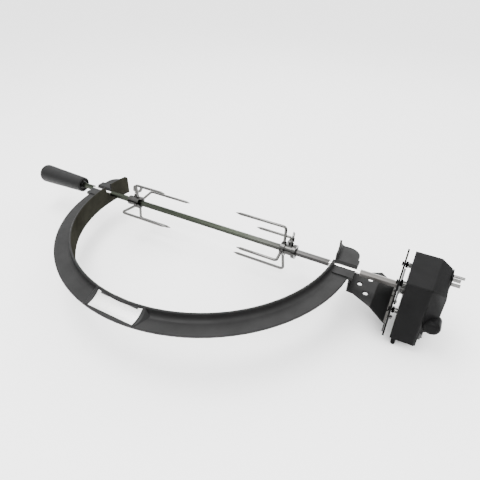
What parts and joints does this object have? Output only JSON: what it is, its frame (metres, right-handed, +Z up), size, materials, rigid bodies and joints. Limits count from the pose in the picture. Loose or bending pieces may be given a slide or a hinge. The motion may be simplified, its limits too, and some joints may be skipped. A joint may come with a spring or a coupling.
{
  "type": "grill rotisserie kit",
  "caption": "Spit-roasting kit for a round kamado grill: half ring, hexagonal spit with handle, two forks and a mains gear motor.",
  "frame": {"origin": "centre of the ring, on the plane of its flange's seat face and on the spit's axis", "axes": "+X along the spit towards the motor, +Y towards the open side of the half ring, +Z up"},
  "size_m": [0.8991, 0.341, 0.131],
  "materials": {
    "black_coat": "matt",
    "plate_steel": "brushed",
    "clip_plastic": "matt",
    "zinc_fastener": "zinc plated",
    "black_bolt": "satin",
    "zinc_plate": "zinc plated",
    "rubber": "matt",
    "bright_steel": "bright",
    "housing_plastic": "fine texture",
    "switch_plastic": "satin",
    "brass": "satin",
    "spit_steel": "satin",
    "grip_plastic": "matt",
    "fork_steel": "bright"
  },
  "bodies": {
    "frame": {"ring_frame": "black_coat", "motor_bracket": "black_coat", "heat_shield": "black_coat", "front_plate": "plate_steel", "plate_clip_left": "clip_plastic", "plate_clip_right": "clip_plastic", "bracket_bolt_1": "zinc_fastener", "bracket_bolt_2": "zinc_fastener", "shield_bolt_1": "zinc_fastener", "shield_bolt_2": "zinc_fastener", "shield_nut_1": "zinc_fastener", "shield_nut_2": "zinc_fastener", "mount_screw_1": "zinc_fastener", "mount_screw_2": "zinc_fastener", "stack_bolt_1": "black_bolt", "stack_bolt_2": "black_bolt", "stack_bolt_3": "black_bolt", "stack_bolt_4": "black_bolt", "mount_plate": "zinc_plate", "motor_back_plate": "zinc_plate", "gearbox": "zinc_plate", "motor_can": "zinc_plate", "grommet_1": "rubber", "grommet_2": "rubber", "grommet_3": "rubber", "grommet_4": "rubber", "motor_foot": "rubber", "spacer_1": "bright_steel", "spacer_2": "bright_steel", "spacer_3": "bright_steel", "spacer_4": "bright_steel", "motor_cover": "housing_plastic", "inlet_body": "housing_plastic", "switch_bezel": "switch_plastic", "inlet_blade_front": "brass", "inlet_blade_back": "brass", "inlet_earth_pin": "brass"},
    "spit": {"spit_bar": "spit_steel", "handle_grip": "grip_plastic", "handle_ferrule": "bright_steel"},
    "left_fork": {"left_hub": "fork_steel", "left_tine_1": "fork_steel", "left_tine_2": "fork_steel", "left_tine_3": "fork_steel", "left_tine_4": "fork_steel"},
    "right_fork": {"right_hub": "fork_steel", "right_tine_1": "fork_steel", "right_tine_2": "fork_steel", "right_tine_3": "fork_steel", "right_tine_4": "fork_steel"},
    "left_screw": {"left_wing_screw": "fork_steel"},
    "right_screw": {"right_wing_screw": "fork_steel"},
    "drive": {"drive_socket": "bright_steel"},
    "rocker": {"switch_rocker": "switch_plastic"}
  },
  "joints": [
    {"name": "spit_spin", "type": "hinge", "parent": "frame", "child": "spit", "pos_m": [0, 0, 0], "axis": [1, 0, 0], "continuous": true},
    {"name": "drive_spin", "type": "hinge", "parent": "frame", "child": "drive", "pos_m": [0.3635, 0, 0], "axis": [1, 0, 0], "continuous": true},
    {"name": "left_fork_slide", "type": "slide", "parent": "spit", "child": "left_fork", "axis": [1, 0, 0], "range_m": [-0.035, 0.06]},
    {"name": "right_fork_slide", "type": "slide", "parent": "spit", "child": "right_fork", "axis": [1, 0, 0], "range_m": [-0.06, 0.045]},
    {"name": "left_screw_turn", "type": "hinge", "parent": "left_fork", "child": "left_screw", "pos_m": [-0.1805, 0.0029, 0.00502], "axis": [0, 0.5, 0.866], "range_deg": [-180, 180]},
    {"name": "right_screw_turn", "type": "hinge", "parent": "right_fork", "child": "right_screw", "pos_m": [0.172, 0.0029, 0.00502], "axis": [0, 0.5, 0.866], "range_deg": [-180, 180]},
    {"name": "switch_rock", "type": "hinge", "parent": "frame", "child": "rocker", "pos_m": [0.4112, -0.035, -0.0505], "axis": [0, 1, 0], "range_deg": [0, 14]}
  ],
  "couplings": [
    {"joint": "drive_spin", "follows": "spit_spin", "ratio": 1}
  ]
}
